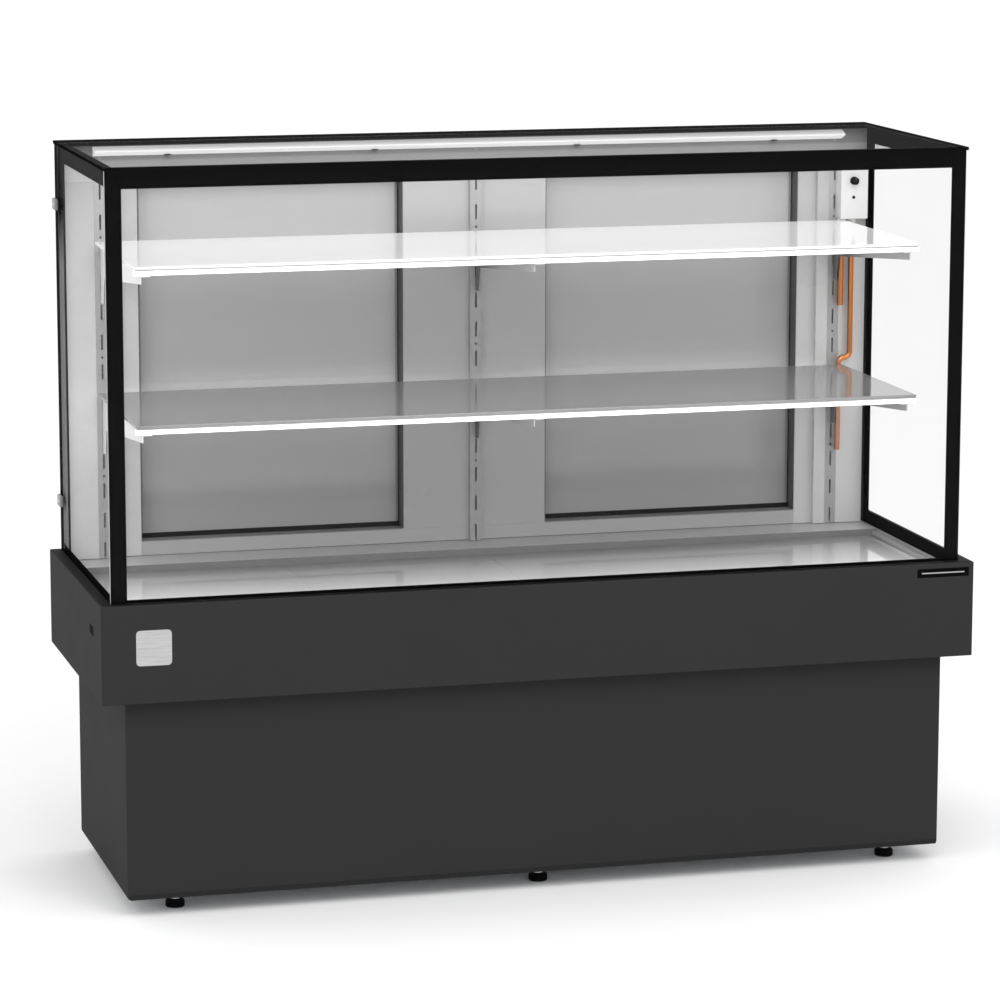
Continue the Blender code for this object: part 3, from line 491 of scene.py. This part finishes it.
def ring(bm, axis, outer, inner, start, end):
    """A flat frame across an axis. outer and inner are (low u, low v, high u, high v)."""
    loops = []
    for w in (start, end):
        for low_u, low_v, high_u, high_v in (outer, inner):
            corners = ((low_u, low_v), (high_u, low_v), (high_u, high_v), (low_u, high_v))
            loops.append([bm.verts.new(in_space(axis, u, v, w)) for u, v in corners])
    outer_start, inner_start, outer_end, inner_end = loops
    for i in range(4):
        j = (i + 1) % 4
        bm.faces.new((outer_start[i], outer_start[j], inner_start[j], inner_start[i]))
        bm.faces.new((outer_end[i], inner_end[i], inner_end[j], outer_end[j]))
        bm.faces.new((outer_start[i], outer_end[i], outer_end[j], outer_start[j]))
        bm.faces.new((inner_start[i], inner_start[j], inner_end[j], inner_end[i]))


def inset(outline, margin):
    low_u, low_v, high_u, high_v = outline
    return (low_u + margin, low_v + margin, high_u - margin, high_v - margin)


def ring_piece(name, axis, outer, inner, start, end, material, body, bevel=0.0):
    bm = bmesh.new()
    ring(bm, axis, outer, inner, start, end)
    return add_piece(name, bm, material, body, bevel)


def add_rod(bm, axis, place, radius, length, segments=16):
    """A rod centred on a place."""
    turn = {"X": Matrix.Rotation(math.pi / 2, 4, "Y"), "Y": Matrix.Rotation(math.pi / 2, 4, "X"),
            "Z": Matrix.Identity(4)}[axis]
    bmesh.ops.create_cone(bm, cap_ends=True, segments=segments, radius1=radius, radius2=radius, depth=length,
                          matrix=Matrix.Translation(place) @ turn)


SCREW_SIDES = 12
SCREW_PROFILE = ((1.0, 0.0), (1.0, 0.15), (0.86, 0.30), (0.5, 0.39))


def add_screw(bm, axis, side, place, radius):
    """A low domed screw head. side is the way it looks along its axis."""
    outward = in_space(axis, 0.0, 0.0, side)
    seat = Matrix.Translation(place) @ outward.to_track_quat("Z", "Y").to_matrix().to_4x4()
    rings = []
    for share, height in SCREW_PROFILE:
        angles = [math.tau * i / SCREW_SIDES for i in range(SCREW_SIDES)]
        rings.append([
            bm.verts.new(seat @ (radius * Vector((share * math.cos(angle), share * math.sin(angle), height))))
            for angle in angles
        ])
    for lower, upper in zip(rings, rings[1:]):
        for i in range(SCREW_SIDES):
            j = (i + 1) % SCREW_SIDES
            bm.faces.new((lower[i], lower[j], upper[j], upper[i]))
    bm.faces.new(rings[-1])
    bm.faces.new(rings[0][::-1])


def screws(name, axis, side, places, material, body, radius):
    bm = bmesh.new()
    for place in places:
        add_screw(bm, axis, side, Vector(place), radius)
    return add_piece(name, bm, material, body)


def plate(name, axis, centre, half, radius, start, end, material, body, bevel=0.0):
    """A plate with rounded corners across an axis."""
    bm = bmesh.new()
    outline = []
    for corner, (side_u, side_v) in enumerate(((1, 1), (-1, 1), (-1, -1), (1, -1))):
        for step in range(5):
            angle = math.radians(90 * corner + 22.5 * step)
            outline.append((centre[0] + side_u * (half[0] - radius) + radius * math.cos(angle),
                            centre[1] + side_v * (half[1] - radius) + radius * math.sin(angle)))
    lower = [bm.verts.new(in_space(axis, u, v, start)) for u, v in outline]
    upper = [bm.verts.new(in_space(axis, u, v, end)) for u, v in outline]
    for i in range(len(outline)):
        j = (i + 1) % len(outline)
        bm.faces.new((lower[i], lower[j], upper[j], upper[i]))
    bm.faces.new(lower)
    bm.faces.new(upper[::-1])
    return add_piece(name, bm, material, body, bevel)


# ---------------------------------------------------------------------------------------------
# Black print on the glass

PRINT_LEFT = 0.0325
PRINT_RIGHT = 0.030
PRINT_TOP = 0.0344
REAR_BAND_LEFT = 0.059
REAR_BAND_RIGHT = 0.076
PRINT_FOOT = 0.0215
SIDE_FRONT_BAND = 0.0372
SIDE_FOOT_BAND = 0.027
SIDE_TOP_BAND = 0.0325
ROOF_BORDER = 0.0265
ROOF_FRONT_BORDER = 0.075
ROOF_REAR_BORDER = 0.079


def make_prints():
    """Printed borders on the inner faces of the glass."""
    low, high = FRONT
    ring_piece(
        "front_glass_print", "Y",
        (low[0] + HAIR, low[2] + HAIR, high[0] - HAIR, high[2] - HAIR),
        (low[0] + PRINT_LEFT, low[2] + PRINT_FOOT, high[0] - PRINT_RIGHT, high[2] - PRINT_TOP),
        high[1] + HAIR, high[1] + 2 * HAIR, PRINT, CASE)
    front_band = LEFT[0][1] + SIDE_FRONT_BAND
    for name, side in SIDES:
        rear_band = LEFT[1][1] - (REAR_BAND_LEFT if side < 0 else REAR_BAND_RIGHT)
        low, high = (LEFT, RIGHT)[side > 0]
        inner = high[0] if side < 0 else low[0]
        start, end = sorted((inner - side * HAIR, inner - side * 2 * HAIR))
        ring_piece(
            name + "_glass_print", "X",
            (low[1] + HAIR, low[2] + HAIR, high[1] - HAIR, high[2] - HAIR),
            (front_band, low[2] + SIDE_FOOT_BAND, rear_band, high[2] - SIDE_TOP_BAND),
            start, end, PRINT, CASE)
    inner, back, top = LEFT[1]
    strip = ((inner + HAIR / 3, back - REAR_BAND_LEFT, LEFT[0][2] + SIDE_FOOT_BAND),
             (inner + HAIR * 2 / 3, back - HAIR, top - SIDE_TOP_BAND))
    blocks("left_glass_rear_print", [strip], LEFT_PRINT, CASE)
    low, high = ROOF
    ring_piece(
        "roof_glass_print", "Z",
        (low[0] + HAIR, low[1] + HAIR, high[0] - HAIR, high[1] - HAIR),
        (low[0] + ROOF_BORDER, low[1] + ROOF_FRONT_BORDER,
         high[0] - ROOF_BORDER, high[1] - ROOF_REAR_BORDER),
        low[2] - 2 * HAIR, low[2] - HAIR, PRINT, CASE)


# ---------------------------------------------------------------------------------------------
# Trim

CLAMP_HEIGHTS = {"upper": 1.316, "lower": 0.720}
CLAMP_LENGTH = 0.034
CLAMP_HALF_HEIGHT = 0.011
CLAMP_THICKNESS = 0.0065
SMALL_SCREW = 0.0032


def make_clamps():
    """Small clamps that hold each side glass to the rear columns."""
    back = LEFT[1][1]
    for name, side in SIDES:
        outer = (LEFT[0][0], RIGHT[1][0])[side > 0]
        near, far = sorted((outer + side * HAIR, outer + side * CLAMP_THICKNESS))
        for level, middle in CLAMP_HEIGHTS.items():
            clamp = ((near, back - CLAMP_LENGTH, middle - CLAMP_HALF_HEIGHT),
                     (far, back, middle + CLAMP_HALF_HEIGHT))
            blocks("%s_%s_glass_clamp" % (name, level), [clamp], CLAMP_PAINT, CASE,
                   bevel=0.0012)
            head = (outer + side * (CLAMP_THICKNESS - 2 * HAIR), back - 0.020, middle)
            screws("%s_%s_clamp_screw" % (name, level), "X", side, [head], ALUMINIUM, CASE,
                   SMALL_SCREW)


RECESS_DEPTH = 0.0009
BADGE_CENTRE = (-0.7745, 0.535)
NAMEPLATE_CENTRE = (0.8104, 0.5992)


def make_badges():
    """A plain badge and a plain striped nameplate in the recesses of the deck's front."""
    front = DECK[0][1]
    seat = front + RECESS_DEPTH
    plate("front_badge", "Y", BADGE_CENTRE, (0.0342, 0.0342), 0.0077, front + HAIR, seat,
          BADGE_STEEL, CASE, bevel=0.0002)
    plate("front_nameplate", "Y", NAMEPLATE_CENTRE, (0.0542, 0.0087), 0.0018, front + HAIR, seat,
          PRINT, CASE, bevel=0.0002)
    plate("front_nameplate_stripe", "Y", NAMEPLATE_CENTRE, (0.0450, 0.0011), 0.0010,
          front + HAIR / 10, front + HAIR / 2, BADGE_STEEL, CASE)


INSERT_SETBACK = 0.107
INSERT_HEIGHT = 0.5535
INSERT_HALF = (0.0235, 0.0085)


def make_service_insert():
    """Two black moulded pads in the recess of the deck's left end."""
    outside = DECK[0][0]
    y = DECK[0][1] + INSERT_SETBACK
    half_length, half_height = INSERT_HALF
    pads = [((outside + HAIR, y + low, INSERT_HEIGHT - half_height),
             (outside + 0.0008, y + high, INSERT_HEIGHT + half_height))
            for low, high in ((-half_length, -0.0040), (0.0020, half_length))]
    blocks("service_insert", pads, PRINT, CASE)


def make_window_linings():
    """Dark sheets of painted shade in the windows' reveals, and black joints between the columns and the end
    glasses.
    """
    front = MULLION[0][1]
    back = SILL[1][1]
    inner = MULLION[1][0]
    outer = COLUMN[0][0]
    for name, side in SIDES:
        low_u, high_u = sorted((side * (inner + 0.0004), side * (outer - 0.0004)))
        low_v = SILL[1][2] + 0.0004
        high_v = HEADER[0][2] - 0.0004
        skin = 0.0012
        near = front + 0.0006
        far = back - 0.0003
        sides = [((low_u, near, low_v + skin), (low_u + skin, far, high_v)),
                 ((high_u - skin, near, low_v + skin), (high_u, far, high_v)),
                 ((low_u + skin, near, high_v - skin), (high_u - skin, far, high_v))]
        blocks(name + "_window_reveal_shade", sides, REVEAL_PAINTED_SHADE, CASE)
        blocks(name + "_window_ledge", [((low_u, near, low_v), (high_u, far, low_v + skin - HAIR))],
               SEAL, CASE)
        joint = sorted((side * (COLUMN[1][0] - 0.0062), side * (COLUMN[1][0] - 0.0002)))
        blocks(name + "_glass_joint", [((joint[0], COLUMN[0][1] - 0.0010, COLUMN[0][2] + 0.0005),
                                        (joint[1], COLUMN[0][1] - 0.0001, HEADER[1][2] - 0.0005))],
               DARK_RUBBER, CASE)


DOOR_BORDERS = (("dark_border", DARK_RUBBER, 0.0, 0.0025), ("grey_border", SEAL, 0.0025, 0.0075))


def make_door_trim():
    """A gasket in front of each leaf, an inner sheet with a two-tone border, and an outer bead."""
    for name, side in SIDES:
        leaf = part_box(name + "_door_frame")
        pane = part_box(name + "_door_pane")
        body = name + "_door"
        outline = (leaf[0][0], leaf[0][2], leaf[1][0], leaf[1][2])
        ring_piece(name + "_door_gasket", "Y", inset(outline, 0.008), inset(outline, 0.020),
                   SILL[1][1] + 0.0003, leaf[0][1] - HAIR, DARK_RUBBER, body, bevel=0.0008)
        left, right = sorted((side * (MULLION[1][0] + 0.002), side * (COLUMN[0][0] - 0.002)))
        low = SILL[1][2] + 0.002
        high = HEADER[0][2] - 0.002
        sheet_front = SILL[1][1] + 0.0008
        blocks(name + "_door_inner_glass", [((left, sheet_front, low), (right, leaf[0][1] - 0.0004, high))],
               DOOR_GLASS, body)
        sheet = (left, low, right, high)
        for border, finish, start, end in DOOR_BORDERS:
            ring_piece("%s_door_%s" % (name, border), "Y", inset(sheet, start), inset(sheet, end),
                       sheet_front - 0.0003, sheet_front - HAIR, finish, body)
        pane_outline = (pane[0][0], pane[0][2], pane[1][0], pane[1][2])
        ring_piece(name + "_door_outer_bead", "Y", pane_outline, inset(pane_outline, 0.007),
                   pane[1][1] + 0.0003, leaf[1][1] - 0.001, DARK_RUBBER, body, bevel=0.001)


def make_shelf_seams():
    """The thin grey joint between each shelf's glass and its LED rail."""
    for level in LEVELS:
        low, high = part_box(level + "_led_rail")
        blocks(level + "_shelf_seam", [((low[0] + 0.001, low[1] - 0.0004, high[2] - 0.0014),
                                        (high[0] - 0.001, low[1] - HAIR, high[2] + 0.0010))],
               SEAM, CASE)


def make_deck_trim():
    """Black strips on the deck's flange, along the foot of the glass, and a darker strip of painted shade
    along the plinth's foot.
    """
    top = DECK[1][2]
    glass = abs(LEFT[0][0])
    front = FRONT[0][1]
    boxes = [((-glass - 0.019, front - 0.0165, top + HAIR), (glass + 0.019, front - 0.0004, top + 0.0006))]
    for _, side in SIDES:
        left, right = sorted((side * (glass + 0.0004), side * (glass + 0.019)))
        boxes.append(((left, front - 0.0002, top + HAIR), (right, LEFT[1][1] - 0.002, top + 0.0006)))
    blocks("deck_trim", boxes, TRIM_BLACK, CASE)
    # A thin darker strip at the plinth's foot: painted shade.
    low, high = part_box("plinth_shell")
    foot_shade_box = ((low[0] + 0.004, low[1] - 0.0008, low[2] + 0.0002),
           (high[0] - 0.004, low[1] - HAIR, low[2] + 0.0095))
    blocks("plinth_foot_shade_strip", [foot_shade_box], PLINTH_FOOT_PAINTED_SHADE, CASE, bevel=0.0003)


def make_bracket_rivets():
    """Two black rivets through each bracket's arm."""
    for level in LEVELS:
        for name in THIRDS:
            low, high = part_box("%s_%s_bracket" % (level, name))
            bm = bmesh.new()
            for y in (low[1] + 0.058, low[1] + 0.300):
                add_rod(bm, "X", Vector(((low[0] + high[0]) / 2, y, high[2] - 0.010)), 0.0032, 0.0058, 12)
            add_piece("%s_%s_bracket_rivets" % (level, name), bm, BLACK_PLASTIC, CASE)


def make_lamp_details():
    """Rubber plugs under the lamp, and the header's screws."""
    centres = (-0.634, -0.2115, 0.2115, 0.634)
    bm = bmesh.new()
    for x in centres:
        add_rod(bm, "Z", Vector((x, LAMP[0][1] + 0.020, LAMP[0][2] + 0.0004)), 0.007, 0.0016, 20)
    add_piece("lamp_fixing_plugs", bm, DARK_RUBBER, CASE, bevel=0.0003)
    front = HEADER[0][1]
    places = [(x, front, LAMP[0][2] - 0.003) for x in (-0.770, 0.0, 0.770)]
    screws("header_screws", "Y", -1, places, GALVANISED, CASE, SMALL_SCREW)


def make_floor_trim():
    """Pale strips that cover the joint between the floor panels and the end glasses."""
    top = FLOOR_PANEL[1][2]
    for name, side in SIDES:
        inner = side * (abs(FLOOR_PANEL[0][0]) - 0.0005)
        edges = sorted((inner, inner - side * 0.012))
        low = (edges[0], FLOOR_PANEL[0][1] + 0.001, top + 0.0003)
        high = (edges[1], FLOOR_PANEL[1][1] - 0.001, top + 0.009)
        blocks(name + "_floor_strip", [(low, high)], STEEL_PAINT, CASE, bevel=0.002)


SIGNAL_HEIGHT = 1.2920


def make_box_details():
    """The knob's pointer, the signal lamp, and the white grommets of the pipes that leave the box."""
    low = BOX[0]
    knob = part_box("thermostat_knob")
    x = (knob[0][0] + knob[1][0]) / 2
    z = (knob[0][2] + knob[1][2]) / 2
    face = knob[0][1]
    pointer = ((x - 0.0005, face - 0.0002, z + 0.0020), (x + 0.0005, face + 0.0004, z + 0.0066))
    blocks("thermostat_pointer", [pointer], SEAL, "thermostat_dial")
    bm = bmesh.new()
    add_rod(bm, "Y", Vector((x, low[1] - 0.0003, SIGNAL_HEIGHT)), 0.0034, 0.0005, 16)
    add_piece("thermostat_signal_lamp", bm, BLACK_PLASTIC, CASE)
    bm = bmesh.new()
    pipe_radius = 0.006
    line_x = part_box("copper_line")[1][0] - pipe_radius
    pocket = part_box("sensor_pocket")
    pocket_x = (pocket[0][0] + pocket[1][0]) / 2
    pocket_y = (pocket[0][1] + pocket[1][1]) / 2
    for pipe_x in (line_x, pocket_x):
        add_rod(bm, "Z", Vector((pipe_x, pocket_y, low[2] - 0.0045)), 0.0084, 0.0086, 20)
    add_piece("pipe_grommets", bm, BOX_PLASTIC, CASE, bevel=0.0006)


LOUVRE_BANKS = (-0.620, -0.260, 0.100, 0.460)
LOUVRE_LENGTH = 0.240
LOUVRE_ROWS = 9
LOUVRE_START = 0.115
LOUVRE_PITCH = 0.026
BLADE_PROFILE = ((0.0018, 0.0135), (0.0018, 0.0122), (0.0125, 0.0015), (0.0135, 0.0024))


def make_louvres():
    """Slanted louvre blades behind the slots of the rear panel, and its screws."""
    back = GRILLE[1][1]
    bm = bmesh.new()
    for left in LOUVRE_BANKS:
        for row in range(LOUVRE_ROWS):
            low = LOUVRE_START + row * LOUVRE_PITCH
            ends = [[bm.verts.new((x, back - depth, low + rise)) for depth, rise in BLADE_PROFILE]
                    for x in (left - 0.003, left + LOUVRE_LENGTH + 0.003)]
            for i in range(4):
                j = (i + 1) % 4
                bm.faces.new((ends[0][i], ends[0][j], ends[1][j], ends[1][i]))
            bm.faces.new(ends[0][::-1])
            bm.faces.new(ends[1])
    add_piece("louvre_blades", bm, CHARCOAL, CASE)
    margin = 0.012
    half = GRILLE[1][0] - margin
    heights = (0.062, GRILLE[1][2] - margin)
    places = [(x, back, z) for x in (-half, -half / 3, half / 3, half) for z in heights]
    screws("rear_panel_screws", "Y", 1, places, GALVANISED, CASE, radius=0.004)


HINGE_RAIL_MIDDLE = 0.738
RAIL_SCREW_HEIGHTS = (0.66, 0.90, 1.12, 1.35)


def make_door_hardware():
    """Round roses at the ends of each handle, and the screws of the hinge rails."""
    for name, side in SIDES:
        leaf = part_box(name + "_door_frame")
        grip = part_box(name + "_door_handle")
        x = (grip[0][0] + grip[1][0]) / 2
        bm = bmesh.new()
        for z in (grip[0][2] + 0.006, grip[1][2] - 0.006):
            add_rod(bm, "Y", Vector((x, leaf[1][1] + 0.0014, z)), 0.0105, 0.0024, 24)
        add_piece(name + "_handle_roses", bm, ALUMINIUM, name + "_door", bevel=0.0006)
        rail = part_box(name + "_hinge_rail")
        places = [(side * HINGE_RAIL_MIDDLE, rail[1][1], z) for z in RAIL_SCREW_HEIGHTS]
        screws(name + "_hinge_rail_screws", "Y", 1, places, GALVANISED, CASE, SMALL_SCREW)


def tube(name, points, radius, material, body):
    """A round pipe along a smoothed path."""
    curve = bpy.data.curves.new(name, "CURVE")
    curve.dimensions = "3D"
    curve.bevel_depth = radius
    curve.bevel_resolution = 3
    curve.use_fill_caps = True
    spline = curve.splines.new("NURBS")
    spline.points.add(len(points) - 1)
    for point, spot in zip(spline.points, points):
        point.co = (*spot, 1.0)
    spline.use_endpoint_u = True
    spline.order_u = 3
    spline.resolution_u = 6
    piece = bpy.data.objects.new(name, curve)
    bpy.context.scene.collection.objects.link(piece)
    curve.materials.append(material)
    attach(piece, body)
    return piece


def make_machine_details():
    """The copper pipes between the compressor, the cooling coil above it and the condenser."""
    low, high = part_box("compressor")
    x = (low[0] + high[0]) / 2
    y = (low[1] + high[1]) / 2
    top = high[2]
    suction = [(x - 0.02, y, top - 0.01), (x - 0.02, y, top + 0.03), (x - 0.05, y, top + 0.05),
               (x - 0.12, y + 0.02, top + 0.05), (x - 0.14, y + 0.02, top + 0.08), (x - 0.14, y + 0.02, 0.42)]
    tube("suction_pipe", suction, 0.005, COPPER, CASE)
    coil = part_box("condenser")
    coil_right = coil[1][0]
    coil_y = coil[0][1] + 0.03
    liquid = [(coil_right - 0.01, coil_y, 0.36), (coil_right + 0.03, coil_y, 0.36),
              (coil_right + 0.05, coil_y, 0.34), (0.05, coil_y, 0.34), (0.40, coil_y, 0.30),
              (x - 0.02, y + 0.06, 0.24), (x + 0.02, y + 0.03, 0.20)]
    tube("liquid_pipe", liquid, 0.004, COPPER, CASE)


make_prints()
make_clamps()
make_badges()
make_service_insert()
make_window_linings()
make_door_trim()
make_shelf_seams()
make_deck_trim()
make_bracket_rivets()
make_lamp_details()
make_floor_trim()
make_box_details()
make_louvres()
make_door_hardware()
make_machine_details()


# ---------------------------------------------------------------------------------------------
# Floor, light and camera

FLOOR_REACH = 60.0
CAMERA_PLACE = (-2.1355, -7.787, 2.177)
CAMERA_PITCH = 10.193
CAMERA_TURN = 15.269
CAMERA_ROLL = 0.0014
CAMERA_LENS = 147.65
WORLD_STRENGTH = 1.12
SOFTBOXES = (
    # name, place, aim, size, power
    ("side_softbox", (-3.4, -2.4, 2.4), (0.0, 0.0, 0.7), 2.0, 13.0),
    ("front_softbox", (0.2, -3.4, 3.6), (0.0, -0.4, 0.5), 2.6, 70.0),
)


def make_stage():
    bm = bmesh.new()
    bmesh.ops.create_grid(bm, x_segments=1, y_segments=1, size=FLOOR_REACH)
    mesh = bpy.data.meshes.new("studio_floor")
    bm.to_mesh(mesh)
    bm.free()
    floor = bpy.data.objects.new("studio_floor", mesh)
    bpy.context.scene.collection.objects.link(floor)
    mesh.materials.append(paint("studio_floor_white", grey(0.93), grey(0.92), 0.8, grain=20.0, bump=0.0,
                                specular=0.0))


def make_light():
    world = bpy.data.worlds.new("studio")
    bpy.context.scene.world = world
    world.use_nodes = True
    background = world.node_tree.nodes["Background"]
    background.inputs["Color"].default_value = (1.0, 1.0, 1.0, 1.0)
    background.inputs["Strength"].default_value = WORLD_STRENGTH
    for name, place, aim, size, power in SOFTBOXES:
        lamp = bpy.data.lights.new(name, "AREA")
        lamp.size = size
        lamp.energy = power
        lamp_object = bpy.data.objects.new(name, lamp)
        lamp_object.location = place
        lamp_object.rotation_euler = (Vector(aim) - Vector(place)).to_track_quat("-Z", "Y").to_euler()
        bpy.context.scene.collection.objects.link(lamp_object)


def make_camera():
    camera = bpy.data.cameras.new("photo_view")
    camera.lens = CAMERA_LENS
    camera.sensor_width = 36.0
    camera.clip_end = 200.0
    camera_object = bpy.data.objects.new("photo_view", camera)
    camera_object.location = CAMERA_PLACE
    roll = Matrix.Rotation(CAMERA_ROLL, 4, "Z")
    aim = Euler((math.radians(90.0 - CAMERA_PITCH), 0.0, math.radians(-CAMERA_TURN))).to_matrix().to_4x4()
    camera_object.rotation_euler = (aim @ roll).to_euler()
    bpy.context.scene.collection.objects.link(camera_object)
    bpy.context.scene.camera = camera_object


make_stage()
make_light()
make_camera()
bpy.context.scene.view_settings.view_transform = "Standard"
